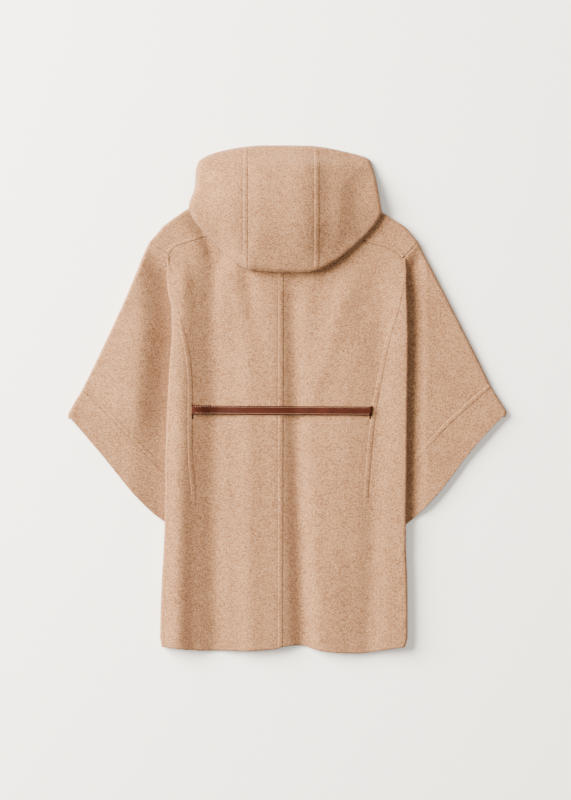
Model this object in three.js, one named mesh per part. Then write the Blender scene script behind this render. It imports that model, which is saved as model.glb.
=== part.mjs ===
import * as THREE from 'three';

// A hooded wool cape laid back up on a table, in millimetres. The table is z 0, +Y points to the
// hood, +X to the wearer's right. Tables give real places on the laid garment, measured flat.

// Sizes
const cloth = 2.6;              // double-faced wool
const seamGap = 0.3;            // between two pieces sewn edge to edge
const restGap = 0.3;            // between two pieces that lie on each other
const lapWidth = 10;            // lapped seam allowance
const lapRise = 1.1;            // how far a lapped seam stands above its panel
const bodyTop = 18.5;           // outer face of the back above the table, between its folds
const sleeveTop = { left: 30, right: 16 };  // outer face of a sleeve where it lies highest
const sleeveDrop = { left: 14, right: 3 };  // how far it sinks again towards its outer fold
const sleeveFlat = { left: 16, right: 15 }; // the same at the cuffs, where it lies flatter
const sleeveRamp = { left: [3, 76], right: [14, 44] };  // where it climbs, out from the back's edge
const sleeveTuck = 6.6;         // outer face of a sleeve where it is tucked under the back
const tuck = 19;                // how far sleeve and side fold reach in under the back
const foldReach = { left: 7, right: 4.5 };  // half width of the rolled side fold, seen from above
const edgeLift = 11;            // how far the right side fold stands clear of the sleeve
const sleeveFold = 6;           // the same for the sleeve's outer fold and the shoulder fold
const shoulderReturn = 18;      // yoke turned under at the shoulder, from its outline
const slitWidth = 5;
const slitTop = -12.5, slitLow = -42;
const beltWidth = 18.5, beltThick = 2.2, beltTail = 27, beltBend = 2.6;
const hoodRoll = 13;            // width of the rounded rim of the hood
const hoodRimRise = 17;         // height of that rim above what it lies on
const hoodRise = 38;            // how far the crown stands above the rim
const hoodCrest = -22;          // x of the line along which the hood is highest

// Outline of the back: where its rolled side edges show, by level
const sideEdges = [
  { y: 301, left: -253, right: 247 },
  { y: 250, left: -248, right: 249.5 },
  { y: 196, left: -243, right: 251.5 },
  { y: 135, left: -242, right: 253 },
  { y: 55, left: -248, right: 252 },
  { y: -33, left: -253, right: 251 },
  { y: -132, left: -256, right: 250 },
  { y: -258, left: -257, right: 248 },
  { y: -306, left: -259, right: 248 },
  { y: -369, left: -263, right: 251 },
  { y: -443, left: -266, right: 252 },
  { y: -500, left: -267, right: 252 },
  { y: -519, left: -264, right: 247 },
];

// Shaped seams from the yoke down past the belt slits, straight on to the hem below their ends
const shapedSeams = [
  { left: { x: -247, y: 303 }, right: { x: 240, y: 295 } },
  { left: { x: -241, y: 222 }, right: { x: 243, y: 259 } },
  { left: { x: -223, y: 170 }, right: { x: 234, y: 219 } },
  { left: { x: -209, y: 120 }, right: { x: 220, y: 175 } },
  { left: { x: -201, y: 72 }, right: { x: 205, y: 123 } },
  { left: { x: -198, y: 23 }, right: { x: 186, y: 30 } },
  { left: { x: -198, y: -27 }, right: { x: 176, y: -27 } },
  { left: { x: -197, y: -132 }, right: { x: 166, y: -120 } },
  { left: { x: -191, y: -195 }, right: { x: 160, y: -200 } },
  { left: { x: -187, y: -350 }, right: { x: 156, y: -350 } },
  { left: { x: -184, y: -527 }, right: { x: 155, y: -532.5 } },
];
const seamFade = -205;          // level where the shaped seams run out

const centerSeam = [[-8, 363], [-8, 265], [-8.5, -22], [-10, -518.5]];
const hemLeft = [[-264, -519], [-252, -525], [-228, -527.5], [-184, -527], [-129, -527], [-78, -527],
  [-47, -525], [-22, -522.5], [-10, -518.5]];
const hemRight = [[-10, -518.5], [13, -516], [37, -517.5], [55, -523.5], [85, -529.5], [125, -532],
  [155, -532.5], [205, -531], [230, -526], [247, -519]];

// Yokes: seam to the back, shoulder line, and the end where the sleeve is set on
const yokeSeam = {
  left: [[-247, 303], [-236, 317.5], [-204, 329], [-169, 341], [-131, 355], [-100, 372]],
  right: [[240, 295], [232, 304], [215, 314.5], [173, 327], [157, 334], [121, 351], [85, 372]],
};
const shoulder = {
  left: [[-289, 330], [-272, 349], [-259, 364], [-243, 376], [-225, 389], [-208, 400], [-183, 413],
    [-152, 425], [-100, 435]],
  right: [[274, 330], [263, 343], [246, 362], [224, 376], [199, 391], [173, 406], [136, 420], [94, 433]],
};

// Sleeves: outer fold from the shoulder to the cuff seam, the cuff seam, and the cuff's own edges
const sleeveOuter = {
  left: [[-289, 330], [-298, 312], [-337, 216], [-365, 155], [-413, 55], [-431, 19]],
  right: [[274, 330], [286, 306], [331, 219], [365, 152], [398, 87], [428, 25]],
};
const cuffSeam = {
  left: [[-431, 19], [-413, 2], [-391, -20], [-358, -54], [-328, -84], [-295, -118], [-258, -156],
    [-237, -176]],
  right: [[428, 25], [404, 4], [366, -30], [344, -50], [314, -81], [287, -111], [265, -134],
    [231, -171]],
};
const cuffOuter = {
  left: [[-431, 19], [-449, -11], [-460, -33], [-459, -42]],
  right: [[428, 25], [447, -5], [460, -28], [457, -38]],
};
const cuffHem = {
  left: [[-459, -42], [-425, -80], [-391, -118], [-349, -168], [-328, -193], [-306, -216],
    [-278, -242], [-238, -270]],
  right: [[457, -38], [440, -54], [409, -86], [376, -123], [344, -165], [322, -192], [301, -215],
    [259, -255], [229, -276]],
};

// Hood, laid over the neck: outline of each of its three pieces
const hoodTopEdge = {
  left: [[-187, 497], [-181, 503], [-152, 517], [-82, 531]],
  center: [[-82, 531], [-8, 533], [66, 530.5]],
  right: [[66, 530.5], [127, 518], [166, 506.5], [174, 500]],
};
const hoodSideEdge = {
  left: [[-187, 497], [-192, 479], [-193, 456], [-196, 435], [-204, 414], [-207, 399]],
  right: [[174, 500], [184, 469], [192, 427], [198, 391]],
};
const hoodLowEdge = {
  left: [[-207, 399], [-196, 376], [-167, 341], [-131, 305], [-108, 286], [-82, 270]],
  center: [[-82, 270], [-60, 268], [-8, 265], [55, 267], [66, 270]],
  right: [[66, 270], [98, 287], [127, 310], [157, 336], [186, 368], [198, 391]],
};

// The largest folds of the back: a soft ridge or trough along each line, rise at its two ends
const folds = [
  { top: [-222, 280], low: [-234, -540], rise: [10, 16], width: 32 },
  { top: [-143, 350], low: [-139, -540], rise: [-10.5, -12], width: 27 },
  { top: [-112, 310], low: [-84, -540], rise: [4, 7], width: 44 },
  { top: [14, 262], low: [38, -540], rise: [-5.5, -14], width: 23 },
  { top: [140, 270], low: [92, -540], rise: [4, 4], width: 44 },
  { top: [205, 250], low: [168, -540], rise: [-2, -4], width: 22 },
  { top: [250, 275], low: [246, -540], rise: [12, 6], width: 42 },
];

// The same for the hood, which sinks a little along both of its seams
const hoodFolds = [
  { top: [-80, 560], low: [-82, 270], rise: [-3.5, -2.5], width: 15 },
  { top: [30, 560], low: [20, 270], rise: [3, 3], width: 36 },
  { top: [84, 560], low: [84, 270], rise: [-1.5, -1.5], width: 16 },
  { top: [-150, 470], low: [-120, 330], rise: [2, 3], width: 26 },
  { top: [112, 480], low: [105, 300], rise: [2, 2.5], width: 26 },
];

const mix = THREE.MathUtils.lerp;

// Runs softly from 0 at a to 1 at b, whichever is larger
function smooth(a, b, v) {
  const t = THREE.MathUtils.clamp((v - a) / (b - a), 0, 1);
  return t * t * (3 - 2 * t);
}

// A smooth line through a few points, read by its share of its own length
function line(points) {
  const places = points.map(([x, y]) => new THREE.Vector3(x, y, 0));
  const curve = new THREE.CatmullRomCurve3(places, false, 'centripetal');
  curve.arcLengthDivisions = 400;
  return (share) => curve.getPointAt(THREE.MathUtils.clamp(share, 0, 1));
}

// A line of straight stretches, read the same way
function bend(points) {
  const path = new THREE.CurvePath();
  for (let i = 1; i < points.length; i++) {
    const [from, to] = [points[i - 1], points[i]].map(([x, y]) => new THREE.Vector3(x, y, 0));
    path.add(new THREE.LineCurve3(from, to));
  }
  return (share) => path.getPointAt(THREE.MathUtils.clamp(share, 0, 1));
}

// Moves a line sideways in plan, to the left of its own direction
function beside(path, offset) {
  return (share) => {
    const step = 0.004;
    const along = path(Math.min(share + step, 1)).sub(path(Math.max(share - step, 0))).normalize();
    return path(share).add(new THREE.Vector3(-along.y, along.x, 0).multiplyScalar(offset));
  };
}

// The share of a line's length at which it reaches a level
function shareAt(path, level) {
  let [low, high] = [0, 1];
  const falling = path(1).y < path(0).y;
  for (let i = 0; i < 30; i++) {
    const middle = (low + high) / 2;
    if ((path(middle).y > level) === falling) low = middle;
    else high = middle;
  }
  return (low + high) / 2;
}

// Points of a panel between its four edges: blend of the edges, less the blend of the corners
function panel({ top, low, left, right }, rows, cols) {
  return rows.map((t) => cols.map((s) => {
    const across = top(s).multiplyScalar(1 - t).add(low(s).multiplyScalar(t));
    const down = left(t).multiplyScalar(1 - s).add(right(t).multiplyScalar(s));
    const high = top(0).multiplyScalar(1 - s).add(top(1).multiplyScalar(s)).multiplyScalar(1 - t);
    const deep = low(0).multiplyScalar(1 - s).add(low(1).multiplyScalar(s)).multiplyScalar(t);
    return across.add(down).sub(high).sub(deep);
  }));
}

const even = (count) => Array.from({ length: count + 1 }, (_, i) => i / count);

// Sum of a table's folds: each is a bell across its line and fades in at its start
function foldSum(table, x, y) {
  let z = 0;
  for (const { top, low, rise, width } of table) {
    const share = THREE.MathUtils.clamp((top[1] - y) / (top[1] - low[1]), 0, 1);
    const away = (x - mix(top[0], low[0], share)) / width;
    z += mix(rise[0], rise[1], share) * smooth(top[1] + 40, top[1] - 60, y) * Math.exp(-away * away);
  }
  return z;
}

// Height of the outer face of the back and yokes above the table
function backHeight(x, y) {
  return Math.max(bodyTop + foldSum(folds, x, y), cloth * 2 + 1);
}

// The x of the back's side edge at a level
const edgeAt = (side, y) => {
  const row = sideEdges.findIndex((e) => e.y <= y);
  if (row <= 0) return sideEdges[row === 0 ? 0 : sideEdges.length - 1][side];
  const [a, b] = [sideEdges[row - 1], sideEdges[row]];
  return mix(b[side], a[side], (y - b.y) / (a.y - b.y));
};

// 1 on the seam between yoke and sleeve, 0 from a hand's width below it
function atHead(side, x, y) {
  const [a, b] = [sleeveOuter[side][0], yokeSeam[side][0]];
  const [dx, dy] = [b[0] - a[0], b[1] - a[1]];
  const away = Math.abs((x - a[0]) * dy - (y - a[1]) * dx) / Math.hypot(dx, dy);
  return smooth(side === 'left' ? 56 : 34, 3, away);
}

// Height of the outer face of a sleeve: low under the back's edge, full further out
function sleeveHeight(side, x, y) {
  const out = (side === 'left' ? -1 : 1) * (x - edgeAt(side, y));
  const arch = sleeveTop[side] - sleeveDrop[side] * smooth(70, 185, out);
  const top = mix(sleeveFlat[side], arch, smooth(-110, 0, y));
  const z = mix(sleeveTuck, top, smooth(...sleeveRamp[side], out));
  return mix(z, backHeight(x, y) - 0.3, atHead(side, x, y) * smooth(5, 12, out));
}

// A wall of cloth from its middle points and half-thickness arrows, without the cells open(i, j)
function wall(name, material, points, open = () => false) {
  const [rows, cols] = [points.length, points[0].length];
  const places = [];
  for (const side of [1, -1]) {
    for (const row of points) {
      for (const { at, out } of row) places.push(...at.clone().addScaledVector(out, side).toArray());
    }
  }
  const id = (i, j, under) => under * rows * cols + i * cols + j;
  const shut = (i, j) => i < 0 || j < 0 || i >= rows - 1 || j >= cols - 1 || open(i, j);
  const faces = [];
  const quad = (a, b, c, d) => faces.push(a, b, c, a, c, d);
  for (let i = 0; i < rows - 1; i++) {
    for (let j = 0; j < cols - 1; j++) {
      if (open(i, j)) continue;
      quad(id(i, j, 0), id(i, j + 1, 0), id(i + 1, j + 1, 0), id(i + 1, j, 0));
      quad(id(i, j, 1), id(i + 1, j, 1), id(i + 1, j + 1, 1), id(i, j + 1, 1));
      if (shut(i - 1, j)) quad(id(i, j + 1, 0), id(i, j, 0), id(i, j, 1), id(i, j + 1, 1));
      if (shut(i + 1, j)) quad(id(i + 1, j, 0), id(i + 1, j + 1, 0), id(i + 1, j + 1, 1), id(i + 1, j, 1));
      if (shut(i, j - 1)) quad(id(i, j, 0), id(i + 1, j, 0), id(i + 1, j, 1), id(i, j, 1));
      if (shut(i, j + 1)) quad(id(i + 1, j + 1, 0), id(i, j + 1, 0), id(i, j + 1, 1), id(i + 1, j + 1, 1));
    }
  }
  if (volume(places, faces) < 0) faces.reverse();
  const geometry = new THREE.BufferGeometry();
  geometry.setAttribute('position', new THREE.Float32BufferAttribute(places, 3));
  geometry.setIndex(faces);
  geometry.computeVertexNormals();
  const mesh = new THREE.Mesh(geometry, material.clone());
  mesh.name = name;
  return mesh;
}

function volume(places, faces) {
  const corner = (k) => new THREE.Vector3().fromArray(places, 3 * faces[k]);
  let sum = 0;
  for (let k = 0; k < faces.length; k += 3) sum += corner(k).dot(corner(k + 1).cross(corner(k + 2)));
  return sum;
}

// A point of a panel that lies face up: outer face at the given height, wall measured upright
function faceUp(place, height, thick = cloth) {
  const slope = 0.5;
  const dx = (height(place.x + slope, place.y) - height(place.x - slope, place.y)) / (2 * slope);
  const dy = (height(place.x, place.y + slope) - height(place.x, place.y - slope)) / (2 * slope);
  const half = Math.min(Math.hypot(dx, dy, 1), 1.3) * thick / 2;
  const at = new THREE.Vector3(place.x, place.y, height(place.x, place.y) - half);
  return { at, out: new THREE.Vector3(0, 0, half) };
}

// Points that carry a row on round a rolled edge and back underneath, ending at lowEnd
function roll(from, outward, reach, lowAt, returnTo, lowEnd, steps = 5, flat = 2) {
  const high = from.at.z + from.out.z - cloth / 2;
  const half = (high - lowAt) / 2;
  const points = [];
  for (let k = 1; k <= steps; k++) {
    const angle = Math.PI * (0.5 - k / steps);
    const at = new THREE.Vector3(from.at.x, from.at.y, lowAt + half * (1 + Math.sin(angle)));
    at.addScaledVector(outward, reach * Math.cos(angle));
    const out = outward.clone().multiplyScalar(half * Math.cos(angle));
    out.z = reach * Math.sin(angle);
    points.push({ at, out: out.normalize().multiplyScalar(cloth / 2) });
  }
  for (let k = 1; k <= flat; k++) {
    const at = new THREE.Vector3(from.at.x, from.at.y, mix(lowAt, lowEnd, k / flat));
    at.lerp(new THREE.Vector3(returnTo.x, returnTo.y, at.z), k / flat);
    points.push({ at, out: new THREE.Vector3(0, 0, -cloth / 2) });
  }
  return points;
}

// Materials
const finish = (name, color, roughness) => (
  new THREE.MeshStandardMaterial({ name, color, roughness, metalness: 0 }));
const wool = finish('camel_wool', 0xcfae8e, 0.95);
const leather = finish('brown_leather', 0x6b2f1e, 0.5);

// Back panels, each with its shaped seam, belt slit and rolled side edge
const seamLine = {
  left: line(shapedSeams.map((row) => [row.left.x, row.left.y])),
  right: line(shapedSeams.map((row) => [row.right.x, row.right.y])),
};
const rowLevels = [281, 262, 242, 218, 192, 166, 140, 112, 84, 56, 30, 6, slitTop, slitLow, -62,
  -88, -116, -146, -178, seamFade, -235, -268, -302, -338, -376, -414, -450, -484, -508];

// Where yoke and back meet, on to the centre seam at the neck
const neckLine = {
  left: line([...yokeSeam.left, centerSeam[0]]),
  right: line([...yokeSeam.right, centerSeam[0]]),
};

// Shares of a back's width, from the centre seam; the left one has a lapped strip there
const backCols = {
  left: [0, 0.095, 0.11, 0.24, 0.4, 0.53, 0.65, 0.74, 0.82, 0.9, 0.985, 1],
  right: [0, 0.08, 0.16, 0.27, 0.42, 0.56, 0.7, 0.82, 0.92, 0.985, 1],
};

function back(side) {
  const sign = side === 'left' ? -1 : 1;
  const seam = seamLine[side];
  const middle = line(centerSeam);
  const hem = line(side === 'left' ? hemLeft : hemRight);
  const hemStart = side === 'left' ? 1 : 0;
  const hemEnd = hemSplit(hem, seam(1).x);
  const rows = [0, ...rowLevels.map((level) => shareAt(seam, level)), 1];
  const neck = neckLine[side];
  const foldLine = (t) => {
    const y = mix(yokeSeam[side][0][1], -519, t);
    return new THREE.Vector3(edgeAt(side, y) - sign * reachAt(side, y), y, 0);
  };
  const inner = panel({
    top: (s) => neck(1 - s),
    low: (s) => hem(mix(hemStart, hemEnd, s)),
    left: (t) => middle(t).add(new THREE.Vector3(sign * seamGap / 2, 0, 0)),
    right: (t) => seam(t),
  }, rows, backCols[side]);
  const points = rows.map((t, i) => {
    const lap = lapRise * smooth(seamFade - 30, seamFade + 20, seam(t).y);
    const row = inner[i].map((place, j) => {
      const point = faceUp(place, backHeight);
      if (side === 'left' && j < 2) point.at.z += lapRise;
      return point;
    });
    const fold = foldLine(t);
    const start = seam(t);
    const room = Math.max(sign * (fold.x - start.x), 3);
    const wide = Math.min(lapWidth, room * 0.45);
    const steps = [Math.min(slitWidth / 2, room * 0.2), wide, wide + Math.min(1, room * 0.1)];
    const gaps = [0.3, 0.65, 1].map((share) => mix(steps[2], room, share));
    [...steps, ...gaps].forEach((d, k) => {
      const place = new THREE.Vector3(start.x + sign * d, mix(start.y, fold.y, d / room), 0);
      const point = faceUp(place, backHeight);
      if (k < 2) point.at.z += lap;
      row.push(point);
    });
    const last = row[row.length - 1];
    const y = last.at.y;
    const onSleeve = smooth(-335, -288, y);
    const lift = side === 'right' ? edgeLift * smooth(300, 240, y) : 0;
    const rest = sleeveTuck + restGap + cloth / 2;
    const lowAt = mix(cloth / 2, rest + lift, onSleeve);
    const lowEnd = mix(cloth / 2, rest, onSleeve);
    const inside = new THREE.Vector3(edgeAt(side, y) - sign * tuck, y, 0);
    const outward = new THREE.Vector3(sign, 0, 0);
    row.push(...roll(last, outward, reachAt(side, y) - cloth / 2, lowAt, inside, lowEnd));
    return row;
  });
  const slitRow = 1 + rowLevels.indexOf(slitTop);
  const seamCol = inner[0].length - 1;
  const inSlit = (i, j) => i === slitRow && (j === seamCol || j === seamCol - 1);
  return wall(`back_${side}`, wool, points, inSlit);
}

// The side fold grows out of the armhole corner and is full a hand below it
const reachAt = (side, y) => mix(3.4, foldReach[side], smooth(300, 200, y));

// The share of a hem at which it passes a given x
function hemSplit(hem, x) {
  let [low, high] = [0, 1];
  for (let i = 0; i < 30; i++) {
    const middle = (low + high) / 2;
    if (hem(middle).x < x) low = middle;
    else high = middle;
  }
  return (low + high) / 2;
}

// Yokes, turned under at the shoulder
function yoke(side) {
  const path = line(shoulder[side]);
  const fold = (t) => path(t).addScaledVector(shoulderOut(side, t), -sleeveFold);
  const yokeEnd = shareAt(neckLine[side], 371.5);
  const seam = (t) => neckLine[side](t * yokeEnd);
  const rows = even(10).map((t) => mix(0.0016, 1, t));
  const plan = panel({
    top: (s) => seam(0).lerp(fold(0), s),
    low: (s) => seam(1).lerp(fold(1), s),
    left: (t) => seam(t),
    right: (t) => fold(t),
  }, rows, [0.03, 0.14, 0.34, 0.56, 0.78, 1]);
  const points = plan.map((places, i) => {
    const row = places.map((place) => faceUp(place, backHeight));
    const last = row[row.length - 1];
    const outward = shoulderOut(side, rows[i]);
    const inside = last.at.clone().addScaledVector(outward, sleeveFold - shoulderReturn);
    row.push(...roll(last, outward, sleeveFold - cloth / 2, cloth / 2, inside, cloth / 2, 4, 1));
    return row;
  });
  return wall(`yoke_${side}`, wool, points);
}

// Direction of the seam between yoke and sleeve, out over the shoulder
const headOut = {
  left: new THREE.Vector3(-42, 27, 0).normalize(),
  right: new THREE.Vector3(34, 35, 0).normalize(),
};

// Direction straight out over the shoulder line, in plan
function shoulderOut(side, share) {
  const path = line(shoulder[side]);
  const along = path(Math.min(share + 0.01, 1)).sub(path(Math.max(share - 0.01, 0))).normalize();
  const out = new THREE.Vector3(-along.y, along.x, 0);
  if (side === 'right') out.negate();
  return out.lerp(headOut[side], smooth(0.14, 0, share)).normalize();
}

// Shares of a sleeve's width, from its tucked edge out
const sleeveCols = [0, 0.1, 0.19, 0.28, 0.38, 0.5, 0.64, 0.78, 0.9, 1];

// A stretch of sleeve: upper layer, outer fold and lower layer in one piece
function sleevePiece(name, side, outer, top, low, rows, lapRows) {
  const sign = side === 'left' ? -1 : 1;
  const [start, end] = [top(1), low(1)];
  const innerEdge = (t) => {
    const y = mix(start.y, end.y, t);
    return new THREE.Vector3(edgeAt(side, y) - sign * tuck, y, 0);
  };
  const plan = panel({
    top: (s) => top(1 - s),
    low: (s) => low(1 - s),
    left: innerEdge,
    right: outer,
  }, rows, sleeveCols);
  const height = (x, y) => sleeveHeight(side, x, y);
  const points = plan.map((places, i) => {
    const along = outer(Math.min(rows[i] + 0.02, 1)).sub(outer(Math.max(rows[i] - 0.02, 0))).normalize();
    const outward = new THREE.Vector3(along.y, -along.x, 0).multiplyScalar(-sign);
    if (lapRows) outward.lerp(headOut[side], smooth(0.1, 0, rows[i])).normalize();
    const row = places.map((place, j) => {
      const moved = place.clone().addScaledVector(outward, -sleeveFold * sleeveCols[j] ** 2);
      const point = faceUp(moved, height);
      const clear = smooth(4, 24, sign * (moved.x - edgeAt(side, moved.y)));
      if (lapRows && rows[i] >= lapRows) point.at.z += lapRise * clear;
      return point;
    });
    const last = row[row.length - 1];
    const low = cloth / 2;
    row.push(...roll(last, outward, sleeveFold - cloth / 2, low, places[0], low, 4, 3));
    return row;
  });
  return wall(name, wool, points);
}

function sleeve(side) {
  const outer = line(sleeveOuter[side]);
  const sign = side === 'left' ? -1 : 1;
  const tucked = [edgeAt(side, 290) - sign * tuck, 288];
  const head = bend([sleeveOuter[side][0], yokeSeam[side][0], tucked]);
  const seam = line(cuffSeam[side]);
  const rows = [0.0016, 0.05, 0.1, 0.17, 0.27, 0.38, 0.5, 0.62, 0.74, 0.84, 0.93, 0.968, 0.971, 0.9985];
  return sleevePiece(`sleeve_${side}`, side, outer, head, seam, rows, 0.97);
}

function cuff(side) {
  const [outer, seam, hem] = [cuffOuter, cuffSeam, cuffHem].map((edge) => line(edge[side]));
  return sleevePiece(`cuff_${side}`, side, outer, seam, hem, [0.004, 0.3, 0.6, 0.85, 1], 0);
}

// Hood: three pieces over the neck, their rim rounded down to the table or to the back
const hoodOutline = [
  ...sample(line(joined(hoodTopEdge)), 60),
  ...sample(line(hoodSideEdge.right), 24),
  ...sample(line(joined(hoodLowEdge)), 70).reverse(),
  ...sample(line(hoodSideEdge.left), 24).reverse(),
];

// An edge of all three hood pieces in one run of points
function joined({ left, center, right }) {
  return [...left, ...center.slice(1), ...right.slice(1)];
}

function sample(path, count) {
  return even(count).map((share) => path(share));
}

// Distance from the outline of the hood
function hoodInset(x, y) {
  let least = Infinity;
  const here = new THREE.Vector3(x, y, 0);
  const near = new THREE.Vector3();
  for (let i = 1; i < hoodOutline.length; i++) {
    new THREE.Line3(hoodOutline[i - 1], hoodOutline[i]).closestPointToPoint(here, true, near);
    least = Math.min(least, near.distanceTo(here));
  }
  return least;
}

// Outer face of the hood's hidden lower stretch, which lies on the back, lifted a little at the right
function underHeight(x, y) {
  const lift = 2 * smooth(-40, 90, x) * smooth(345, 285, y);
  return backHeight(x, y) + lapRise + 0.9 + cloth + lift;
}

// What the hood stands on: the table above the shoulders, its own hidden stretch below them
function hoodSeat(x, y, inset) {
  const under = underHeight(x, y) + restGap + cloth / 2;
  const atRim = mix(1.35, under, smooth(512, 398, y));
  const inside = mix(6, under, smooth(500, 345, y));
  return mix(atRim, inside, smooth(0, 60, inset));
}

// Rounded rim, then a tent that falls off to both sides of its crest
function hoodHeight(x, y) {
  const inset = Math.max(hoodInset(x, y) - cloth / 2, 0);
  const round = Math.sqrt(1 - (1 - Math.min(inset / hoodRoll, 1)) ** 2);
  const rim = hoodRimRise * mix(1, 0.38, smooth(450, 300, y)) * mix(1, 0.4, smooth(20, 150, x));
  const away = Math.hypot(Math.max(Math.abs(x - hoodCrest) - 52, 0), 30) - 30;
  const tent = THREE.MathUtils.clamp(1 - away / mix(150, 168, smooth(-60, 60, x)), 0, 1);
  const tall = smooth(0, 50, 533 - y) * mix(1, 0.66, smooth(430, 275, y));
  const crown = hoodRise * tent * tall * smooth(-55, 85, inset);
  const sink = foldSum(hoodFolds, x, y) * smooth(8, 40, inset);
  return hoodSeat(x, y, inset) + rim * round + crown + sink;
}

function hoodPoint(place) {
  const step = 0.4;
  const dx = (hoodHeight(place.x + step, place.y) - hoodHeight(place.x - step, place.y)) / (2 * step);
  const dy = (hoodHeight(place.x, place.y + step) - hoodHeight(place.x, place.y - step)) / (2 * step);
  const out = new THREE.Vector3(-dx, -dy, 1).normalize().multiplyScalar(cloth / 2);
  return { at: new THREE.Vector3(place.x, place.y, hoodHeight(place.x, place.y)), out };
}

function hoodPiece(name, { top, low, left, right }, rows, cols) {
  const shifted = (path, dx) => (share) => path(share).add(new THREE.Vector3(dx, 0, 0));
  const gap = seamGap / 2;
  const plan = panel({
    top: line(top), low: line(low),
    left: shifted(line(left), name === 'hood_left' ? 0 : gap),
    right: shifted(line(right), name === 'hood_right' ? 0 : -gap),
  }, rows, cols);
  return wall(name, wool, plan.map((row) => row.map((place) => hoodPoint(place))));
}

const hoodRows = [0.004, 0.015, 0.035, 0.07, 0.15, 0.27, 0.4, 0.53, 0.66, 0.78, 0.87, 0.93, 0.965,
  0.985, 0.996];
const hoodSeams = {
  left: [hoodTopEdge.left[3], hoodLowEdge.left[5]],
  right: [hoodTopEdge.right[0], hoodLowEdge.right[0]],
};
const sideCols = [0.008, 0.03, 0.07, 0.13, 0.25, 0.45, 0.66, 0.84, 1];
const hoodCols = {
  left: sideCols,
  center: even(9),
  right: sideCols.map((s) => 1 - s).reverse(),
};

// The hidden stretch of the hood between its lower rim and the neck seam
function hoodUnder() {
  const rim = line([[-199, 386], ...joined(hoodLowEdge).slice(1, -1), [192, 379]]);
  const neck = line([[-178, 388], [-100, 379], [-8, 368], [85, 380], [170, 384]]);
  const plan = panel({
    top: neck,
    low: rim,
    left: (t) => neck(0).lerp(rim(0), t),
    right: (t) => neck(1).lerp(rim(1), t),
  }, even(6), even(20));
  return wall('hood_under', wool, plan.map((row) => row.map((place) => faceUp(place, underHeight))));
}

// Fronts, flat on the table, from the neck to just short of the back's hem
function front(side) {
  const sign = side === 'left' ? -1 : 1;
  const inner = shoulderReturn + seamGap + 0.4;
  const neck = beside(line(shoulder[side]), sign * inner);
  const past = sign * seamGap;
  const tucked = (y) => [edgeAt(side, y) - sign * (tuck + 1.2), y];
  const corner = [edgeAt(side, 290) - sign * (tuck + 4), 282];
  const start = neck(0.11);
  const levels = [240, 196, 135, 55, -33, -132, -258, -306, -369, -443, -500];
  const sidePath = bend([[start.x, start.y], corner, ...levels.map(tucked), tucked(-512)]);
  const knots = [0, shareAt(sidePath, 282), ...levels.map((y) => shareAt(sidePath, y)), 1];
  const collar = [[past / 2, 296], [sign * 42, 318], [sign * 80, 380]];
  const shoulderRun = even(6).map((t) => neck(mix(0.11, 0.97, t)).toArray()).slice(1);
  const topPath = bend([[start.x, start.y], ...shoulderRun, ...collar.reverse()]);
  const cornerX = tucked(-512)[0];
  const plan = panel({
    top: topPath,
    low: bend([tucked(-512), [0.8 * cornerX, -519], [0.3 * cornerX, -519], [past / 2, -509]]),
    left: sidePath,
    right: line([[past / 2, 296], [past / 2, -509]]),
  }, knots, even(9));
  return wall(`front_${side}`, wool, plan.map((row) => row.map((place) => faceUp(place, () => cloth))));
}

// Belt: across the back, down through both slits and out to each side inside
function belt() {
  const level = (x) => mix(-22.3, -24.8, (x + 195) / 370);
  const seamX = (side, y) => seamLine[side](shareAt(seamLine[side], y)).x;
  const ends = { left: seamX('left', -24), right: seamX('right', -24) };
  const under = cloth + restGap + beltThick / 2;
  const over = (x) => backHeight(x, level(x)) + 1.2 + restGap + beltThick / 2;
  const path = [];
  const turn = (x, high, sign) => {
    const points = [];
    for (let k = 0; k <= 4; k++) {
      const a = (Math.PI / 2) * (k / 4);
      const [inwards, down] = [beltBend * (1 - Math.sin(a)), beltBend * (1 - Math.cos(a))];
      points.push([x - sign * inwards, high - down, Math.PI / 2 - a]);
    }
    for (let k = 0; k <= 4; k++) {
      const a = (Math.PI / 2) * (k / 4);
      points.push([x + sign * beltBend * (1 - Math.cos(a)), under + beltBend * (1 - Math.sin(a)), a]);
    }
    for (const share of [0.5, 1]) points.push([x + sign * (beltBend + beltTail * share), under, Math.PI / 2]);
    const skew = sign < 0 ? 'left' : 'right';
    return points.map(([px, pz, tilt]) => ({ x: px, z: pz, tilt, sign, skew }));
  };
  const left = turn(ends.left, over(ends.left + 5), -1).reverse();
  const right = turn(ends.right, over(ends.right - 5), 1);
  path.push(...left);
  for (const share of even(28).slice(1, -1)) {
    const x = mix(ends.left + beltBend, ends.right - beltBend, share);
    path.push({ x, z: Math.max(over(x), over(x - 9), over(x + 9)), tilt: Math.PI / 2, sign: 1 });
  }
  path.push(...right);
  const rows = path.map(({ x, z, tilt, sign, skew }) => {
    const out = new THREE.Vector3(sign * Math.cos(tilt), 0, Math.sin(tilt)).multiplyScalar(beltThick / 2);
    return [-0.5, 0.5].map((share) => {
      const y = level(x) + share * beltWidth;
      const shift = skew ? seamX(skew, y) - ends[skew] : 0;
      return { at: new THREE.Vector3(x + shift, y, z), out };
    });
  });
  return wall('belt', leather, rows);
}

const cape = new THREE.Group();
for (const side of ['left', 'right']) {
  cape.add(back(side), yoke(side), sleeve(side), cuff(side), front(side));
}
for (const side of ['left', 'center', 'right']) {
  const edges = {
    top: hoodTopEdge[side],
    low: hoodLowEdge[side],
    left: side === 'left' ? hoodSideEdge.left : hoodSeams[side === 'center' ? 'left' : 'right'],
    right: side === 'right' ? hoodSideEdge.right : hoodSeams[side === 'center' ? 'right' : 'left'],
  };
  cape.add(hoodPiece(`hood_${side}`, edges, hoodRows, hoodCols[side]));
}
cape.add(hoodUnder(), belt());
export default cape;
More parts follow.
